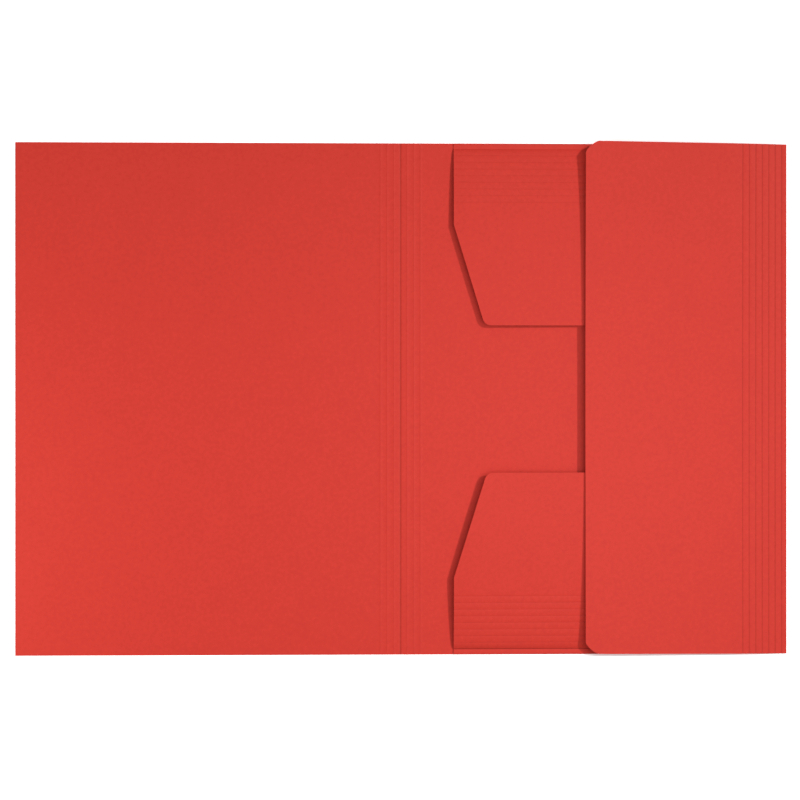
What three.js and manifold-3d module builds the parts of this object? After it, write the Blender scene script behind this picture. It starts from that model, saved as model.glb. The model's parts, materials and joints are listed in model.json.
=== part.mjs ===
// A three-flap document folder for A4 sheets, die-cut, creased and folded from one sheet of card.
// It lies open: the front cover is at the left, and the back panel at the right with its top, bottom
// and side flaps folded in. Millimetres, +Z up. The spine fold runs along Y near the origin, which is
// the middle of the folder's footprint on the surface that it lies on.
//
// The sheet is cut only at the two folds that turn by themselves in use, the spine fold and the side
// flap's fold. The top and bottom flaps stay part of the back panel, as on the real sheet.

import * as THREE from 'three';
import { mergeVertices } from 'three/addons/utils/BufferGeometryUtils.js';
import Module from 'manifold-3d';

const wasm = await Module();
wasm.setup();

// Card
const CARD = 0.55;                  // thickness of the sheet
const FOLD_GAP = 0.3;               // air between the two layers at a pressed fold
const FOLD_RELIEF = 0.1;            // from a layer's tip to the line that it turns about

// Cover and back panel
const COVER_WIDTH = 238.5;          // from the spine fold to the outer edge
const BACK_WIDTH = 241.4;           // from the spine fold to the side flap's fold
const PANEL_HEIGHT = 318;

// Creases, rolled into the sheet so that they stand out on the folder's inner face
const CREASE_PITCH = 4.15;
const CREASE_WIDTH = 1.3;
const CREASE_DEPTH = 0.1;
const SPINE_CREASES = 3;            // on each side of the spine fold
const SPINE_GROOVE_WIDTH = 0.8;     // half of the groove that the spine fold leaves
const SPINE_GROOVE_DEPTH = 0.2;

// Top and bottom flaps. Each rises in two ways from its pressed fold: a sharp kick at the first crease
// and a slow spring over the rest of its depth.
const END_FLAP_DEPTH = 113.3;       // from the outer edge to the flap's free edge
const END_FLAP_START = 33;          // from the spine fold to the flap's left end
const END_FLAP_RELIEF = 14;         // from the side flap's fold to the flap's right end
const END_FLAP_CORNER = 5.5;        // radius of the corners at the free edge
const END_FLAP_CREASES = 9;
const END_FIRST_CREASE = 3.5;       // from the outer edge
const TOP_FLAP = {
  shoulder: 50.9,                   // from the outer edge to where the slanted end starts
  slant: 0.307,                     // how far the end runs in for each millimetre after that
  kick: 1.1,
  kickReach: 1.8,
  spring: 3.5,
  springReach: 22,
};
const BOTTOM_FLAP = {
  shoulder: 48.3,
  slant: 0.313,
  kick: 1.7,
  kickReach: 1.8,
  spring: 5.6,
  springReach: 36,
};
const LIFT_FALL_START = 45;         // right of here the flaps sink towards the side flap's fold
const LIFT_FALL_POWER = 0.85;

// Side flap, which lies over the ends of the other two
const SIDE_FLAP_DEPTH = 126.8;      // from its fold to its free edge
const SIDE_CREASES = 7;
const SIDE_FIRST_CREASE = 3.2;      // from its fold
const SIDE_SKEW = 1;                // how far its free edge has slipped up along the fold
const SIDE_CORNER_ALONG = 8.3;      // rounded corners, measured across the flap
const SIDE_CORNER_UP = 7.2;         // and along its free edge
const SIDE_CORNER_FULLNESS = 1.4;   // 2 is an ellipse, 1 a straight cut
const SIDE_FLOAT = 0.6;             // its free edge over the flaps below
const SIDE_TOP_LIFT = 3.4;          // how much higher the free edge's top end stands than its middle
const SIDE_BOTTOM_LIFT = 2.2;
const SIDE_STRAIGHT_SHARE = 0.85;   // the share of its rise that is a straight slope
const SIDE_BEND_REACH = 15;         // the rest is gained over this distance from the fold

// Fineness of the curved surfaces
const FOLD_STEPS = 6;
const CORNER_STEPS = 5;
const FLAP_COLUMNS = 10;
const SIDE_ROWS = 10;
const OPEN_STRIPS = 5;              // strips of a flap past its creases

const HALF_HEIGHT = PANEL_HEIGHT / 2;
const FOLD_RADIUS = CARD + FOLD_GAP / 2;
const LAYER_STEP = CARD + FOLD_GAP;
const END_FLAP_END = BACK_WIDTH - END_FLAP_RELIEF;

const card = new THREE.MeshStandardMaterial({ color: 0xdc4437, roughness: 0.85, metalness: 0 });

// Solids from grids

// A closed geometry between an upper and a lower grid of points, both rows of equal length.
function closedLeaf(upper, lower) {
  const rows = upper.length;
  const columns = upper[0].length;
  const positions = [];
  for (const grid of [upper, lower]) {
    for (const row of grid) {
      for (const point of row) {
        positions.push(point.x, point.y, point.z);
      }
    }
  }
  const up = (i, j) => i * columns + j;
  const down = (i, j) => (rows + i) * columns + j;
  const index = [];
  const quad = (a, b, c, d) => index.push(a, b, c, a, c, d);
  for (let i = 0; i + 1 < rows; i += 1) {
    for (let j = 0; j + 1 < columns; j += 1) {
      quad(up(i, j), up(i + 1, j), up(i + 1, j + 1), up(i, j + 1));
      quad(down(i, j), down(i, j + 1), down(i + 1, j + 1), down(i + 1, j));
    }
    quad(up(i, 0), down(i, 0), down(i + 1, 0), up(i + 1, 0));
    quad(up(i, columns - 1), up(i + 1, columns - 1), down(i + 1, columns - 1), down(i, columns - 1));
  }
  for (let j = 0; j + 1 < columns; j += 1) {
    quad(up(0, j), up(0, j + 1), down(0, j + 1), down(0, j));
    quad(up(rows - 1, j), down(rows - 1, j), down(rows - 1, j + 1), up(rows - 1, j + 1));
  }
  const geometry = new THREE.BufferGeometry();
  geometry.setAttribute('position', new THREE.Float32BufferAttribute(positions, 3));
  geometry.setIndex(index);
  return facingOut(geometry);
}

// The same geometry with its faces pointing out, whichever way its grid ran.
function facingOut(geometry) {
  const position = geometry.getAttribute('position');
  const index = geometry.getIndex();
  const corners = [new THREE.Vector3(), new THREE.Vector3(), new THREE.Vector3()];
  let volume = 0;
  for (let k = 0; k < index.count; k += 3) {
    corners.forEach((corner, n) => corner.fromBufferAttribute(position, index.getX(k + n)));
    volume += corners[0].dot(corners[1].clone().cross(corners[2]));
  }
  if (volume < 0) {
    geometry.setIndex(Array.from(index.array).reverse());
  }
  return geometry;
}

// The two faces of a card whose middle surface is the grid, half a card to each side of it.
function cardFaces(middle) {
  const clampRow = (i) => THREE.MathUtils.clamp(i, 0, middle.length - 1);
  const clampColumn = (j) => THREE.MathUtils.clamp(j, 0, middle[0].length - 1);
  const face = (sign) => middle.map((row, i) => row.map((point, j) => {
    const along = middle[clampRow(i + 1)][j].clone().sub(middle[clampRow(i - 1)][j]);
    const across = row[clampColumn(j + 1)].clone().sub(row[clampColumn(j - 1)]);
    const normal = along.cross(across).normalize();
    return point.clone().addScaledVector(normal, sign * CARD / 2);
  }));
  return [face(1), face(-1)];
}

function toSolid(geometry) {
  const merged = mergeVertices(geometry);
  const position = merged.getAttribute('position');
  const vertProperties = Float32Array.from(position.array);
  const triVerts = Uint32Array.from(merged.getIndex().array);
  return new wasm.Manifold(new wasm.Mesh({ numProp: 3, vertProperties, triVerts }));
}

function toGeometry(solid) {
  const { vertProperties, triVerts } = solid.getMesh();
  const geometry = new THREE.BufferGeometry();
  geometry.setAttribute('position', new THREE.BufferAttribute(vertProperties, 3));
  geometry.setIndex(new THREE.BufferAttribute(triVerts, 1));
  geometry.computeVertexNormals();
  return geometry;
}

function joined(geometries) {
  return toGeometry(geometries.map(toSolid).reduce((sum, solid) => sum.add(solid)));
}

// Creases

const creaseLines = (first, count) => Array.from({ length: count }, (_, k) => first + k * CREASE_PITCH);

// How far the sheet is pushed towards its inner face at a distance from the fold.
function creasePush(distance, lines) {
  const nearest = Math.min(...lines.map((line) => Math.abs(distance - line)));
  return CREASE_DEPTH * Math.max(0, 1 - nearest / (CREASE_WIDTH / 2));
}

// Distances that follow a set of creases: both feet and the middle of each, and the land after it.
function creaseStations(lines) {
  const half = CREASE_WIDTH / 2;
  return lines.flatMap((line) => [line - half, line, line + half, line + CREASE_PITCH / 2]);
}

// Evenly spaced distances from one to another, both left out.
function between(start, end, strips) {
  return Array.from({ length: strips - 1 }, (_, k) => start + (end - start) * (k + 1) / strips);
}

// Flat leaves: the front cover and the back panel

const SPINE_LINES = creaseLines(CREASE_PITCH, SPINE_CREASES);

// Upper and lower height of a flat leaf at a distance from the spine fold.
function spineSection(distance) {
  const push = creasePush(distance, SPINE_LINES);
  const groove = SPINE_GROOVE_DEPTH * Math.max(0, 1 - distance / SPINE_GROOVE_WIDTH);
  return { upper: CARD + push - groove, lower: push };
}

// A flat leaf over the given distances from the spine, on the side of it that the sign gives.
function spineLeaf(distances, sign, bottom, top) {
  const line = (y, level) => distances.map(
    (distance) => new THREE.Vector3(sign * distance, y, spineSection(distance)[level]),
  );
  return closedLeaf(
    [line(bottom, 'upper'), line(top, 'upper')],
    [line(bottom, 'lower'), line(top, 'lower')],
  );
}

const SPINE_STATIONS = [FOLD_RELIEF, SPINE_GROOVE_WIDTH, ...creaseStations(SPINE_LINES)];

function frontCover() {
  return spineLeaf([...SPINE_STATIONS, COVER_WIDTH], -1, -HALF_HEIGHT, HALF_HEIGHT);
}

// The layer that ends at the side flap's fold, its tip rounded as the outside of the fold is. It spans
// the given heights along Y, and its tip lies just short of the fold's line.
function foldTip(place, ys, inner) {
  const centre = BACK_WIDTH - FOLD_RADIUS;
  const reach = FOLD_RADIUS - FOLD_RELIEF;
  const steps = [inner, 0, ...between(0, 1, FOLD_STEPS).map((share) => reach * share), reach];
  const outside = (run) => Math.sqrt(FOLD_RADIUS ** 2 - Math.max(0, run) ** 2);
  const line = (height) => steps.map((run) => ys.map((y) => place(centre + run, y, height(run))));
  return [line(outside), line(() => FOLD_GAP / 2)];
}

// The back panel is one leaf across its middle, with full-height strips past both ends of the flaps.
function panelLeaves() {
  const overlap = CARD;
  const folded = HALF_HEIGHT - FOLD_RADIUS;
  const belowFold = (x, y, height) => new THREE.Vector3(x, y, FOLD_RADIUS - height);
  const tip = foldTip(belowFold, [-HALF_HEIGHT, HALF_HEIGHT], -END_FLAP_RELIEF + FOLD_RADIUS);
  return [
    spineLeaf([...SPINE_STATIONS, END_FLAP_START], 1, -HALF_HEIGHT, HALF_HEIGHT),
    spineLeaf([END_FLAP_START - overlap, END_FLAP_END + overlap], 1, -folded, folded),
    closedLeaf(...tip),
  ];
}

// Top and bottom flaps

// How high a flap stands over its pressed fold, at a distance from the outer edge and a place along it.
function flapRise(flap, distance, x) {
  const past = Math.max(0, distance - END_FIRST_CREASE);
  const kick = flap.kick * (1 - Math.exp(-past / flap.kickReach));
  const spring = flap.spring * (1 - Math.exp(-past / flap.springReach));
  return (kick + spring) * liftShare(x);
}

function liftShare(x) {
  const share = (END_FLAP_END - x) / (END_FLAP_END - LIFT_FALL_START);
  return THREE.MathUtils.clamp(share, 0, 1) ** LIFT_FALL_POWER;
}

// The slanted end of a flap: how far it has run in at a distance from the outer edge, with the corner
// at the free edge rounded.
function flapEnd(flap) {
  const lean = Math.atan(flap.slant);
  const turn = Math.PI / 2 - lean;
  const centreDistance = END_FLAP_DEPTH - END_FLAP_CORNER;
  const tangent = centreDistance + END_FLAP_CORNER * Math.sin(lean);
  const straight = (distance) => flap.slant * Math.max(0, distance - flap.shoulder);
  const centreRun = straight(tangent) + END_FLAP_CORNER * Math.cos(lean);
  const corner = Array.from({ length: CORNER_STEPS + 1 }, (_, k) => {
    const angle = lean + turn * k / CORNER_STEPS;
    return {
      distance: centreDistance + END_FLAP_CORNER * Math.sin(angle),
      run: centreRun - END_FLAP_CORNER * Math.cos(angle),
    };
  });
  return { straight, corner };
}

// A flap from inside the panel's edge, round its fold and out to its free edge, as one bent leaf. The
// side is 1 for the top flap and -1 for the bottom one.
function endFlap(flap, side) {
  const lines = creaseLines(END_FIRST_CREASE, END_FLAP_CREASES);
  const { straight, corner } = flapEnd(flap);
  const foldMiddle = FOLD_RADIUS - CARD / 2;
  const arc = Array.from({ length: FOLD_STEPS + 1 }, (_, k) => Math.PI * (k / FOLD_STEPS - 0.5));
  const around = [
    { distance: FOLD_RADIUS + CARD, height: CARD / 2 },
    ...arc.map((angle) => ({
      distance: FOLD_RADIUS - foldMiddle * Math.cos(angle),
      height: FOLD_RADIUS + foldMiddle * Math.sin(angle),
    })),
  ];
  const creased = creaseStations(lines);
  const lastCreased = creased[creased.length - 1];
  const open = [
    ...between(lastCreased, flap.shoulder, 2),
    flap.shoulder,
    ...between(flap.shoulder, corner[0].distance, OPEN_STRIPS),
  ];
  const leaf = [...creased, ...open].map((distance) => ({ distance, run: straight(distance) }));
  const rows = [...around.map((station) => ({ ...station, run: 0 })), ...leaf, ...corner];
  const middle = rows.map(({ distance, run, height }) => {
    const start = END_FLAP_START + run;
    const end = END_FLAP_END - run;
    return [start, ...between(start, end, FLAP_COLUMNS), end].map((x) => {
      const rise = LAYER_STEP + CARD / 2 + flapRise(flap, distance, x) - creasePush(distance, lines);
      return new THREE.Vector3(x, side * (HALF_HEIGHT - distance), height ?? rise);
    });
  });
  return closedLeaf(...cardFaces(middle));
}

function backPanelWithFlaps() {
  return joined([...panelLeaves(), endFlap(TOP_FLAP, 1), endFlap(BOTTOM_FLAP, -1)]);
}

// Side flap

// The rise of the flaps below at the side flap's free edge, whichever is the higher.
function riseBelow() {
  const x = BACK_WIDTH - SIDE_FLAP_DEPTH;
  const rises = [TOP_FLAP, BOTTOM_FLAP].map((flap) => flapRise(flap, END_FLAP_DEPTH, x));
  return Math.max(...rises);
}

// How far the side flap's underside stands over the layer that its fold leaves it on. It first clears
// the layer of the flaps below, and then rises to its free edge, which sags between its ends.
function sideRise(distance, y) {
  const past = Math.max(0, distance - SIDE_FIRST_CREASE);
  const reach = SIDE_FLAP_DEPTH - SIDE_FIRST_CREASE;
  const bend = 1 - Math.exp(-past / SIDE_BEND_REACH);
  const endLift = y > 0 ? SIDE_TOP_LIFT : SIDE_BOTTOM_LIFT;
  const edge = riseBelow() + SIDE_FLOAT + endLift * (y / HALF_HEIGHT) ** 2;
  const slope = SIDE_STRAIGHT_SHARE * past / reach + (1 - SIDE_STRAIGHT_SHARE) * bend;
  return LAYER_STEP * bend + edge * slope;
}

// How far the rounded corners have drawn the flap's ends in at a distance from its fold.
function sideCornerDraw(distance) {
  const into = Math.max(0, distance - (SIDE_FLAP_DEPTH - SIDE_CORNER_ALONG)) / SIDE_CORNER_ALONG;
  const left = Math.max(0, 1 - Math.min(1, into) ** SIDE_CORNER_FULLNESS);
  return SIDE_CORNER_UP * (1 - left ** (1 / SIDE_CORNER_FULLNESS));
}

function sideFlap() {
  const lines = creaseLines(SIDE_FIRST_CREASE, SIDE_CREASES);
  const creased = creaseStations(lines);
  const cornerStart = SIDE_FLAP_DEPTH - SIDE_CORNER_ALONG;
  const cornerSines = Array.from({ length: CORNER_STEPS + 1 }, (_, k) => (
    Math.sin(k / CORNER_STEPS * Math.PI / 2)
  ));
  const stations = [
    ...creased,
    ...between(creased[creased.length - 1], cornerStart, OPEN_STRIPS),
    ...cornerSines.map((sine) => cornerStart + SIDE_CORNER_ALONG * sine),
  ];
  const ends = [-HALF_HEIGHT, HALF_HEIGHT];
  const shares = [0, ...between(0, 1, SIDE_ROWS), 1];
  const middle = stations.map((distance) => {
    const draw = sideCornerDraw(distance);
    return shares.map((share) => {
      const y = THREE.MathUtils.lerp(ends[0] + draw, ends[1] - draw, share);
      const z = LAYER_STEP + CARD / 2 + sideRise(distance, y) - creasePush(distance, lines);
      const slip = SIDE_SKEW * distance / SIDE_FLAP_DEPTH;
      return new THREE.Vector3(BACK_WIDTH - distance, y + slip, z);
    });
  });
  const faces = cardFaces(middle);
  const aboveFold = (x, y, height) => {
    const slip = SIDE_SKEW * (BACK_WIDTH - x) / SIDE_FLAP_DEPTH;
    return new THREE.Vector3(x, y + slip, FOLD_RADIUS + height);
  };
  const ys = shares.map((share) => THREE.MathUtils.lerp(ends[0], ends[1], share));
  const tip = foldTip(aboveFold, ys, 0).map((rows) => rows.slice(1).reverse());
  return closedLeaf([...tip[0], ...faces[0]], [...tip[1], ...faces[1]]);
}

// The folder

function named(name, geometry) {
  const mesh = new THREE.Mesh(geometry, card.clone());
  mesh.name = name;
  return mesh;
}

const folder = new THREE.Group();
folder.add(named('front_cover', frontCover()));
folder.add(named('back_panel_with_end_flaps', backPanelWithFlaps()));
folder.add(named('side_flap', sideFlap()));

const footprint = new THREE.Box3().setFromObject(folder);
const middle = footprint.getCenter(new THREE.Vector3());
folder.position.set(-middle.x, -middle.y, -footprint.min.z);

export default folder;
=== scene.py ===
import json
import math

import bmesh
import bpy
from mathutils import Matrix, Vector


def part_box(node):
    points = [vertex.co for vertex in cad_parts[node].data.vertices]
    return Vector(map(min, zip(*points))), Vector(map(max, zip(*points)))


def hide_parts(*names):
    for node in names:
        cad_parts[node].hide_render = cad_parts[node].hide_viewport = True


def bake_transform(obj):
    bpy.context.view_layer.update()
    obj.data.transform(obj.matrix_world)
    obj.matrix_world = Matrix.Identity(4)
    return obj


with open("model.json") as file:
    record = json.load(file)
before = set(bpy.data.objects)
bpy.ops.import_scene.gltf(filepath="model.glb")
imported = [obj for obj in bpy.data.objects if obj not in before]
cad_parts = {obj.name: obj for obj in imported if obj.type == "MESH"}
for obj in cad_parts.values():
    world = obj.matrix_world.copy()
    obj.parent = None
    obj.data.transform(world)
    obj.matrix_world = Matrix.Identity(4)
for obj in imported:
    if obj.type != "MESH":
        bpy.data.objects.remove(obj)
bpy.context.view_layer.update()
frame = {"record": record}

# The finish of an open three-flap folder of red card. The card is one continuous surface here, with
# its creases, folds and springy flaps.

MM = 0.001

# Card and folds, as in the CAD model
CARD = 0.55 * MM
FOLD_GAP = 0.3 * MM
FOLD_RADIUS = CARD + FOLD_GAP / 2
LAYER_STEP = CARD + FOLD_GAP

# Creases
CREASE_PITCH = 4.15 * MM
CREASE_WIDTH = 1.3 * MM
CREASE_DEPTH = 0.1 * MM
CREASE_PROFILE = (-1.0, -0.6, -0.3, 0.0, 0.3, 0.6, 1.0)
SPINE_CREASES = 3
END_FLAP_CREASES = 9
SIDE_CREASES = 7
SPINE_GROOVE_WIDTH = 0.8 * MM
SPINE_GROOVE_DEPTH = 0.2 * MM

# Top and bottom flaps
END_FLAP_DEPTH = 113.3 * MM
END_FLAP_START = 33 * MM
END_FLAP_RELIEF = 14 * MM
END_FLAP_CORNER = 5.5 * MM
END_FIRST_CREASE = 3.5 * MM
LIFT_FALL_START = 45 * MM
LIFT_FALL_POWER = 0.85
TOP_FLAP = {
    "shoulder": 50.9 * MM,
    "slant": 0.307,
    "kick": 1.1 * MM,
    "kick_reach": 1.8 * MM,
    "spring": 3.5 * MM,
    "spring_reach": 22 * MM,
}
BOTTOM_FLAP = {
    "shoulder": 48.3 * MM,
    "slant": 0.313,
    "kick": 1.7 * MM,
    "kick_reach": 1.8 * MM,
    "spring": 5.6 * MM,
    "spring_reach": 36 * MM,
}

# Side flap
SIDE_FLAP_DEPTH = 126.8 * MM
SIDE_FIRST_CREASE = 3.2 * MM
SIDE_SKEW = 1 * MM
SIDE_CORNER_ALONG = 8.3 * MM
SIDE_CORNER_UP = 7.2 * MM
SIDE_CORNER_FULLNESS = 1.4
SIDE_FLOAT = 0.6 * MM
SIDE_TOP_LIFT = 3.4 * MM
SIDE_BOTTOM_LIFT = 2.2 * MM
SIDE_STRAIGHT_SHARE = 0.85
SIDE_BEND_REACH = 15 * MM

# Painted shade in the creases: how much each set of creases gets, and how much darker full painted shade
# makes the card
SPINE_CREASE_SHADE = 0.1
END_CREASE_SHADE = 0.2
SIDE_CREASE_SHADE = 0.8
# Painted shade: the bottom flap's first crease, whose rise faces away from the light, gets a strong
# painted shadow line; the top flap's gets none
FIRST_CREASE_SHADES = {1: 0.0, -1: 1.4}
CREASE_DARKENING = 0.28

# Card faces: the colours that soft clouds and short flecks vary between, and the fine surface
CLOUD_COLOURS = ((0.685, 0.046, 0.031), (0.715, 0.049, 0.033))
CLOUD_SCALE = 45
FLECK_COLOURS = ((0.63, 0.041, 0.029), (0.75, 0.055, 0.037))
FLECK_SCALE = 420
FLECK_SHARE = 0.45
FLECK_HEIGHT = 0.6
TOOTH_SCALE = 2600
# The colour that painted shade darkens the creases towards
CREASE_SHADE_COLOUR = (0.0, 0.0, 0.0)
FACE_ROUGHNESS = 0.5
FACE_SPECULAR = 0.1
FACE_BUMP_SHARE = 0.35
FACE_BUMP_HEIGHT = 0.03 * MM

# Cut edges
EDGE_COLOURS = ((0.50, 0.045, 0.035), (0.66, 0.075, 0.055))
EDGE_SCALE = 3000
EDGE_ROUGHNESS = 0.9
EDGE_SPECULAR = 0.2
EDGE_BUMP_SHARE = 0.6
EDGE_BUMP_HEIGHT = 0.05 * MM

# The middle range of a noise, which holds most of its values
NOISE_LOW = 0.3
NOISE_HIGH = 0.7

# Fineness of the surfaces
GRID_STEP = 5 * MM
FOLD_STEPS = 12
CORNER_STEPS = 10
SHARP_ANGLE = math.radians(50)
MERGE_DISTANCE = 0.01 * MM
SPINE_FOLD_STATIONS = [0.25 * MM, 0.5 * MM, 0.8 * MM, 1.5 * MM]

# Where the frame puts the folder
JOINTS = {joint["name"]: joint for joint in frame["record"]["behaviour"]["joints"]}
SPINE_X = JOINTS["cover_fold"]["pos_m"][0]
FOLD_X = JOINTS["side_flap_fold"]["pos_m"][0]
COVER_LOW, COVER_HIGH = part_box("front_cover")
MIDDLE_Y = (COVER_LOW[1] + COVER_HIGH[1]) / 2
HALF_HEIGHT = (COVER_HIGH[1] - COVER_LOW[1]) / 2
COVER_WIDTH = SPINE_X - COVER_LOW[0]
BACK_WIDTH = FOLD_X - SPINE_X
END_FLAP_END = BACK_WIDTH - END_FLAP_RELIEF

# Floor: its own colour, its colour to the camera, how far it reaches and how far it lies below
FLOOR_COLOUR = (0.8, 0.8, 0.8)
FLOOR_SEEN_COLOUR = (1.7, 1.7, 1.7)
FLOOR_REACH = 3.0
FLOOR_DROP = 0.02 * MM

# Camera, from the photograph's perspective
CAMERA_DISTANCE = 1.35
CAMERA_TILT = math.radians(1.64)
VIEW_WIDTH = 497.9 * MM
VIEW_CENTRE = Vector((SPINE_X - 0.28 * MM, MIDDLE_Y - 0.65 * MM, 0))
SENSOR = 36.0

# Light, from the direction and the softness of the photograph's shadows
SUN_DIRECTION = Vector((0.62, 0.28, 1.0))
SUN_ANGLE = math.radians(1.2)
SUN_STRENGTH = 1.32
OVERHEAD_STRENGTH = 0.5
OVERHEAD_POWER = 2.0
HORIZON_STRENGTH = 0.06
SOFTBOXES = {
    "softbox_right": {"place": (0.11, -0.02, 0.40), "size": 0.25, "watts": 0.44},
    "softbox_sheen": {"place": (0.25, -0.07, 0.42), "size": 0.15, "watts": 0.17},
    "softbox_left": {"place": (-0.38, -0.10, 0.28), "size": 0.12, "watts": 0.36},
}


# Camera


def make_camera():
    data = bpy.data.cameras.new("camera")
    data.sensor_width = SENSOR
    data.lens = SENSOR * CAMERA_DISTANCE / VIEW_WIDTH
    camera = bpy.data.objects.new("camera", data)
    bpy.context.scene.collection.objects.link(camera)
    away = Vector((-math.sin(CAMERA_TILT), 0, math.cos(CAMERA_TILT)))
    camera.location = VIEW_CENTRE + away * CAMERA_DISTANCE
    camera.rotation_euler = (0, -CAMERA_TILT, 0)
    bpy.context.scene.camera = camera


# Creases and rises


def crease_lines(first, count):
    return [first + k * CREASE_PITCH for k in range(count)]


def crease_push(distance, lines):
    """How far the sheet is pushed towards its inner face, a rounded ridge at each crease."""
    nearest = min(abs(distance - line) for line in lines)
    inside = min(1.0, nearest / (CREASE_WIDTH / 2))
    return CREASE_DEPTH * (1 + math.cos(math.pi * inside)) / 2


def crease_stations(lines):
    half = CREASE_WIDTH / 2
    stations = []
    for line in lines:
        stations += [line + half * share for share in CREASE_PROFILE]
        stations += [line + CREASE_PITCH / 2]
    return stations


def between(start, end, step=GRID_STEP):
    """Evenly spaced values from one to another, both left out."""
    strips = max(1, round(abs(end - start) / step))
    return [start + (end - start) * k / strips for k in range(1, strips)]


def lift_share(x):
    share = (END_FLAP_END - x) / (END_FLAP_END - LIFT_FALL_START)
    return min(1.0, max(0.0, share)) ** LIFT_FALL_POWER


def flap_rise(flap, distance, x):
    past = max(0.0, distance - END_FIRST_CREASE)
    kick = flap["kick"] * (1 - math.exp(-past / flap["kick_reach"]))
    spring = flap["spring"] * (1 - math.exp(-past / flap["spring_reach"]))
    return (kick + spring) * lift_share(x)


def side_rise(distance, y):
    past = max(0.0, distance - SIDE_FIRST_CREASE)
    reach = SIDE_FLAP_DEPTH - SIDE_FIRST_CREASE
    bend = 1 - math.exp(-past / SIDE_BEND_REACH)
    below = max(
        flap_rise(flap, END_FLAP_DEPTH, BACK_WIDTH - SIDE_FLAP_DEPTH)
        for flap in (TOP_FLAP, BOTTOM_FLAP)
    )
    end_lift = SIDE_TOP_LIFT if y > 0 else SIDE_BOTTOM_LIFT
    edge = below + SIDE_FLOAT + end_lift * (y / HALF_HEIGHT) ** 2
    slope = SIDE_STRAIGHT_SHARE * past / reach + (1 - SIDE_STRAIGHT_SHARE) * bend
    return LAYER_STEP * bend + edge * slope


# Middle surfaces. A patch is a list of rows of points, each with its painted crease shade: 0 on plain
# card, and 1 where the card is painted darker in full. Patches that share an edge merge there.


def place(x, y, z):
    """A point given from the spine fold and the sheet's middle line, in the frame."""
    return Vector((SPINE_X + x, MIDDLE_Y + y, z))


def fold_arc():
    """Inset from the outer edge and height of the middle surface round a pressed fold."""
    radius = FOLD_RADIUS - CARD / 2
    angles = [math.pi * (k / FOLD_STEPS - 0.5) for k in range(FOLD_STEPS + 1)]
    return [
        (FOLD_RADIUS - radius * math.cos(angle), FOLD_RADIUS + radius * math.sin(angle))
        for angle in angles
    ]


SPINE_LINES = crease_lines(CREASE_PITCH, SPINE_CREASES)
SPINE_STATIONS = SPINE_FOLD_STATIONS + crease_stations(SPINE_LINES)


def sheet_patch(xs, ys):
    heights = [CARD / 2 + crease_push(abs(x), SPINE_LINES) for x in xs]
    painted_crease_shade = [spine_shade(abs(x)) for x in xs]
    return [[(place(x, y, z), mark) for x, z, mark in zip(xs, heights, painted_crease_shade)] for y in ys]


def spine_shade(distance):
    """Painted shade near the spine: full in its fold's groove, and faint on the creases beside it."""
    fold = max(0.0, 1 - distance / SPINE_GROOVE_WIDTH)
    return max(fold, SPINE_CREASE_SHADE * crease_push(distance, SPINE_LINES) / CREASE_DEPTH)


def cover_columns():
    right = SPINE_STATIONS + between(SPINE_STATIONS[-1], COVER_WIDTH) + [COVER_WIDTH]
    return [-x for x in reversed(right)] + [0.0]


def panel_columns():
    """Columns left of the end flaps, along them and right of them."""
    left = [0.0] + SPINE_STATIONS + between(SPINE_STATIONS[-1], END_FLAP_START)
    along = [END_FLAP_START] + between(END_FLAP_START, END_FLAP_END) + [END_FLAP_END]
    edge = BACK_WIDTH - FOLD_RADIUS
    right = [END_FLAP_END] + between(END_FLAP_END, edge) + [edge]
    return left + [END_FLAP_START], along, right


def flap_end(flap):
    """The slanted end: its run-in at a distance, and the rounded corner as (distance, run) pairs."""
    lean = math.atan(flap["slant"])
    centre = END_FLAP_DEPTH - END_FLAP_CORNER

    def straight(distance):
        return flap["slant"] * max(0.0, distance - flap["shoulder"])

    tangent = centre + END_FLAP_CORNER * math.sin(lean)
    centre_run = straight(tangent) + END_FLAP_CORNER * math.cos(lean)
    corner = []
    for k in range(CORNER_STEPS + 1):
        angle = lean + (math.pi / 2 - lean) * k / CORNER_STEPS
        distance = centre + END_FLAP_CORNER * math.sin(angle)
        corner.append((distance, centre_run - END_FLAP_CORNER * math.cos(angle)))
    return straight, corner


def end_flap_patch(flap, side, columns):
    """A flap's middle surface, from the panel round its fold to the free edge."""
    lines = crease_lines(END_FIRST_CREASE, END_FLAP_CREASES)
    straight, corner = flap_end(flap)
    creased = crease_stations(lines)
    open_part = between(creased[-1], flap["shoulder"]) + [flap["shoulder"]]
    open_part += between(flap["shoulder"], corner[0][0])
    rows = [(inset, 0.0, height) for inset, height in fold_arc()]
    rows += [(distance, straight(distance), None) for distance in creased + open_part]
    rows += [(distance, run, None) for distance, run in corner]
    patch = []
    for distance, run, height in rows:
        row = []
        for column in columns:
            share = (column - columns[0]) / (columns[-1] - columns[0])
            x = columns[0] + run + share * (columns[-1] - columns[0] - 2 * run)
            z = height
            if z is None:
                z = LAYER_STEP + CARD / 2 + flap_rise(flap, distance, x)
                z -= crease_push(distance, lines)
            # Painted shade on the flap's creases, strongest on the bottom flap's first crease
            first = distance < END_FIRST_CREASE + CREASE_PITCH / 2
            mark = FIRST_CREASE_SHADES[side] if first else END_CREASE_SHADE
            mark *= crease_push(distance, lines) / CREASE_DEPTH
            row.append((place(x, side * (HALF_HEIGHT - distance), z), mark))
        patch.append(row)
    return patch


def side_corner_draw(distance):
    into = (distance - (SIDE_FLAP_DEPTH - SIDE_CORNER_ALONG)) / SIDE_CORNER_ALONG
    left = 1 - min(1.0, max(0.0, into)) ** SIDE_CORNER_FULLNESS
    return SIDE_CORNER_UP * (1 - left ** (1 / SIDE_CORNER_FULLNESS))


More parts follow.
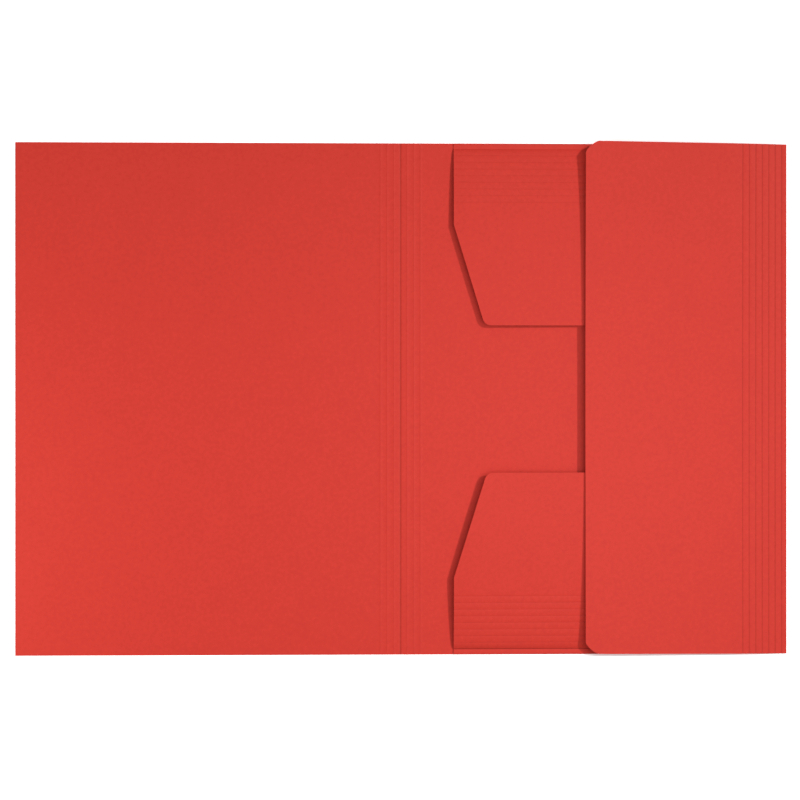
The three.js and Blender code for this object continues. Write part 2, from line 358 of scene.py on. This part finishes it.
def side_flap_patch():
    """The side flap's middle surface, from the panel round its fold to the free edge."""
    lines = crease_lines(SIDE_FIRST_CREASE, SIDE_CREASES)
    creased = crease_stations(lines)
    corner_start = SIDE_FLAP_DEPTH - SIDE_CORNER_ALONG
    distances = creased + between(creased[-1], corner_start)
    for k in range(CORNER_STEPS + 1):
        sine = math.sin(k / CORNER_STEPS * math.pi / 2)
        distances.append(corner_start + SIDE_CORNER_ALONG * sine)
    rows = fold_arc() + [(distance, None) for distance in distances]
    ys = [-HALF_HEIGHT] + between(-HALF_HEIGHT, HALF_HEIGHT) + [HALF_HEIGHT]
    patch = []
    for distance, height in rows:
        squeeze = 1 - side_corner_draw(distance) / HALF_HEIGHT
        slip = SIDE_SKEW * distance / SIDE_FLAP_DEPTH
        row = []
        for y in ys:
            z = height
            if z is None:
                z = LAYER_STEP + CARD / 2 + side_rise(distance, y * squeeze)
                z -= crease_push(distance, lines)
            # Painted shade on the side flap's creases, stronger than on the end flaps
            mark = SIDE_CREASE_SHADE * crease_push(distance, lines) / CREASE_DEPTH
            row.append((place(BACK_WIDTH - distance, y * squeeze + slip, z), mark))
        patch.append(row)
    return patch


# Meshes


def card_object(name, patches, materials):
    """A piece of card from the patches of its middle surface."""
    work = bmesh.new()
    painted_crease_shade = work.verts.layers.float.new("painted_crease_shade")
    for patch in patches:
        grid = []
        for row in patch:
            grid.append([])
            for point, mark in row:
                vertex = work.verts.new(point)
                vertex[painted_crease_shade] = mark
                grid[-1].append(vertex)
        for lower, upper in zip(grid, grid[1:]):
            for j in range(len(lower) - 1):
                work.faces.new((lower[j], lower[j + 1], upper[j + 1], upper[j]))
    bmesh.ops.remove_doubles(work, verts=work.verts, dist=MERGE_DISTANCE)
    bmesh.ops.recalc_face_normals(work, faces=work.faces)
    surface = bpy.data.meshes.new(name + "_surface")
    work.to_mesh(surface)
    work.free()
    maker = bpy.data.objects.new(name + "_maker", surface)
    bpy.context.scene.collection.objects.link(maker)
    thick = maker.modifiers.new("card", "SOLIDIFY")
    thick.thickness = CARD
    thick.offset = 0
    thick.use_even_offset = True
    thick.material_offset_rim = 1
    for material in materials:
        surface.materials.append(material)
    solid = bpy.data.meshes.new_from_object(
        maker.evaluated_get(bpy.context.evaluated_depsgraph_get())
    )
    solid.name = name
    bpy.data.objects.remove(maker)
    card = bpy.data.objects.new(name, solid)
    bpy.context.scene.collection.objects.link(card)
    solid.polygons.foreach_set("use_smooth", [True] * len(solid.polygons))
    solid.set_sharp_from_angle(angle=SHARP_ANGLE)
    return card


def press_spine_groove(card):
    """Presses the groove of the spine fold into the upper face."""
    for vertex in card.data.vertices:
        away = abs(vertex.co.x - SPINE_X)
        if vertex.co.z > CARD / 2 and away < SPINE_GROOVE_WIDTH:
            vertex.co.z -= SPINE_GROOVE_DEPTH * (1 - away / SPINE_GROOVE_WIDTH)


# Materials


def node(tree, kind, **settings):
    made = tree.nodes.new(kind)
    for name, value in settings.items():
        setattr(made, name, value)
    return made


def noise(tree, coordinates, scale, detail=4.0, roughness=0.6):
    made = node(tree, "ShaderNodeTexNoise")
    made.inputs["Scale"].default_value = scale
    made.inputs["Detail"].default_value = detail
    made.inputs["Roughness"].default_value = roughness
    tree.links.new(coordinates, made.inputs["Vector"])
    return made.outputs["Fac"]


def spread(tree, value, low, high):
    """A noise value spread from its middle range to low and high."""
    made = node(tree, "ShaderNodeMapRange")
    made.inputs["From Min"].default_value = NOISE_LOW
    made.inputs["From Max"].default_value = NOISE_HIGH
    made.inputs["To Min"].default_value = low
    made.inputs["To Max"].default_value = high
    tree.links.new(value, made.inputs["Value"])
    return made.outputs["Result"]


def maths(tree, operation, first, second):
    made = node(tree, "ShaderNodeMath", operation=operation)
    for socket, value in zip(made.inputs, (first, second)):
        if isinstance(value, float):
            socket.default_value = value
        else:
            tree.links.new(value, socket)
    return made.outputs["Value"]


def mixed_colour(tree, factor, first, second):
    """A mix of two colours. A mix node has its colours on inputs 6 and 7, and its result on output 2."""
    made = node(tree, "ShaderNodeMix", data_type="RGBA")
    if isinstance(factor, float):
        made.inputs["Factor"].default_value = factor
    else:
        tree.links.new(factor, made.inputs["Factor"])
    for socket, value in ((made.inputs[6], first), (made.inputs[7], second)):
        if isinstance(value, tuple):
            socket.default_value = (*value, 1)
        else:
            tree.links.new(value, socket)
    return made.outputs[2]


def card_face_material():
    """Dyed recycled card: soft cloudy formation, short fibres and a fine tooth, with painted shade in
    its creases.
    """
    material = bpy.data.materials.new("red_card_face")
    material.use_nodes = True
    tree = material.node_tree
    shader = tree.nodes["Principled BSDF"]
    shader.inputs["Roughness"].default_value = FACE_ROUGHNESS
    shader.inputs["Specular IOR Level"].default_value = FACE_SPECULAR
    here = node(tree, "ShaderNodeTexCoord").outputs["Object"]
    clouds = spread(tree, noise(tree, here, CLOUD_SCALE, detail=3), 0, 1)
    mottle = spread(tree, noise(tree, here, FLECK_SCALE, detail=4), 0, 1)
    tooth = noise(tree, here, TOOTH_SCALE, detail=2)
    base = mixed_colour(tree, clouds, *CLOUD_COLOURS)
    flecks = mixed_colour(tree, mottle, *FLECK_COLOURS)
    both = mixed_colour(tree, FLECK_SHARE, base, flecks)
    # Painted shade: the creases and the spine fold are painted darker, standing in for the shade in
    # their grooves
    painted_crease_shade = node(tree, "ShaderNodeAttribute", attribute_name="painted_crease_shade").outputs["Fac"]
    shade = maths(tree, "MULTIPLY", painted_crease_shade, CREASE_DARKENING)
    crease_shaded = mixed_colour(tree, shade, both, CREASE_SHADE_COLOUR)
    tree.links.new(crease_shaded, shader.inputs["Base Color"])
    height = maths(tree, "ADD", maths(tree, "MULTIPLY", mottle, FLECK_HEIGHT), tooth)
    bump = node(tree, "ShaderNodeBump")
    bump.inputs["Strength"].default_value = FACE_BUMP_SHARE
    bump.inputs["Distance"].default_value = FACE_BUMP_HEIGHT
    tree.links.new(height, bump.inputs["Height"])
    tree.links.new(bump.outputs["Normal"], shader.inputs["Normal"])
    return material


def card_edge_material():
    """The cut edge of the card: rougher, and a little paler where the fibres are torn."""
    material = bpy.data.materials.new("red_card_edge")
    material.use_nodes = True
    tree = material.node_tree
    shader = tree.nodes["Principled BSDF"]
    shader.inputs["Roughness"].default_value = EDGE_ROUGHNESS
    shader.inputs["Specular IOR Level"].default_value = EDGE_SPECULAR
    here = node(tree, "ShaderNodeTexCoord").outputs["Object"]
    fibres = spread(tree, noise(tree, here, EDGE_SCALE, detail=3), 0, 1)
    colour = mixed_colour(tree, fibres, *EDGE_COLOURS)
    tree.links.new(colour, shader.inputs["Base Color"])
    bump = node(tree, "ShaderNodeBump")
    bump.inputs["Strength"].default_value = EDGE_BUMP_SHARE
    bump.inputs["Distance"].default_value = EDGE_BUMP_HEIGHT
    tree.links.new(fibres, bump.inputs["Height"])
    tree.links.new(bump.outputs["Normal"], shader.inputs["Normal"])
    return material


def floor_material():
    """A plain pale floor, white to the camera where nothing shades it."""
    material = bpy.data.materials.new("floor")
    material.use_nodes = True
    tree = material.node_tree
    shader = tree.nodes["Principled BSDF"]
    shader.inputs["Roughness"].default_value = 1.0
    shader.inputs["Specular IOR Level"].default_value = 0.0
    path = node(tree, "ShaderNodeLightPath").outputs
    seen = maths(tree, "MAXIMUM", path["Is Camera Ray"], path["Is Glossy Ray"])
    seen = maths(tree, "MAXIMUM", seen, path["Is Transmission Ray"])
    colour = mixed_colour(tree, seen, FLOOR_COLOUR, FLOOR_SEEN_COLOUR)
    tree.links.new(colour, shader.inputs["Base Color"])
    return material


# Floor and light


def make_floor():
    data = bpy.data.meshes.new("floor")
    reach = FLOOR_REACH
    corners = [(-reach, -reach, 0), (reach, -reach, 0), (reach, reach, 0), (-reach, reach, 0)]
    data.from_pydata(corners, [], [(0, 1, 2, 3)])
    data.materials.append(floor_material())
    floor = bpy.data.objects.new("floor", data)
    bpy.context.scene.collection.objects.link(floor)
    floor.location.z = -FLOOR_DROP


def make_lights():
    data = bpy.data.lights.new("key", "SUN")
    data.energy = SUN_STRENGTH
    data.angle = SUN_ANGLE
    key = bpy.data.objects.new("key", data)
    bpy.context.scene.collection.objects.link(key)
    key.rotation_mode = "QUATERNION"
    key.rotation_quaternion = SUN_DIRECTION.to_track_quat("Z", "Y")
    for name, box in SOFTBOXES.items():
        data = bpy.data.lights.new(name, "AREA")
        data.shape = "SQUARE"
        data.size = box["size"]
        data.energy = box["watts"]
        lamp = bpy.data.objects.new(name, data)
        bpy.context.scene.collection.objects.link(lamp)
        lamp.location = box["place"]
        lamp.visible_camera = False
    world = bpy.data.worlds.new("studio")
    world.use_nodes = True
    bpy.context.scene.world = world
    tree = world.node_tree
    background = tree.nodes["Background"]
    background.inputs["Color"].default_value = (1, 1, 1, 1)
    direction = node(tree, "ShaderNodeTexCoord").outputs["Generated"]
    parts = node(tree, "ShaderNodeSeparateXYZ")
    tree.links.new(direction, parts.inputs["Vector"])
    height = maths(tree, "MAXIMUM", parts.outputs["Z"], 0.0)
    shape = maths(tree, "POWER", height, OVERHEAD_POWER)
    overhead = maths(tree, "MULTIPLY", shape, OVERHEAD_STRENGTH)
    glow = maths(tree, "ADD", overhead, HORIZON_STRENGTH)
    seen = node(tree, "ShaderNodeLightPath").outputs["Is Camera Ray"]
    tree.links.new(maths(tree, "MAXIMUM", glow, seen), background.inputs["Strength"])


# The folder


def make_folder():
    materials = (card_face_material(), card_edge_material())
    left, along, right = panel_columns()
    low = HALF_HEIGHT - FOLD_RADIUS
    across = cover_columns()[:-1] + left[:-1] + along[:-1] + right
    rows = [-low] + between(-low, low) + [low]
    patches = [sheet_patch(across, rows)]
    for side in (1, -1):
        ends = [side * low, side * HALF_HEIGHT]
        patches.append(sheet_patch(cover_columns()[:-1] + left, ends))
        patches.append(sheet_patch(right, ends))
    patches.append(end_flap_patch(TOP_FLAP, 1, along))
    patches.append(end_flap_patch(BOTTOM_FLAP, -1, along))
    sheet = card_object("cover_panel_and_end_flaps", patches, materials)
    press_spine_groove(sheet)
    side = card_object("side_flap_card", [side_flap_patch()], materials)
    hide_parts("front_cover", "back_panel_with_end_flaps")
    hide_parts("side_flap")
    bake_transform(sheet)
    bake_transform(side)


make_camera()
make_lights()
make_floor()
make_folder()

bpy.context.scene.view_settings.view_transform = "Standard"
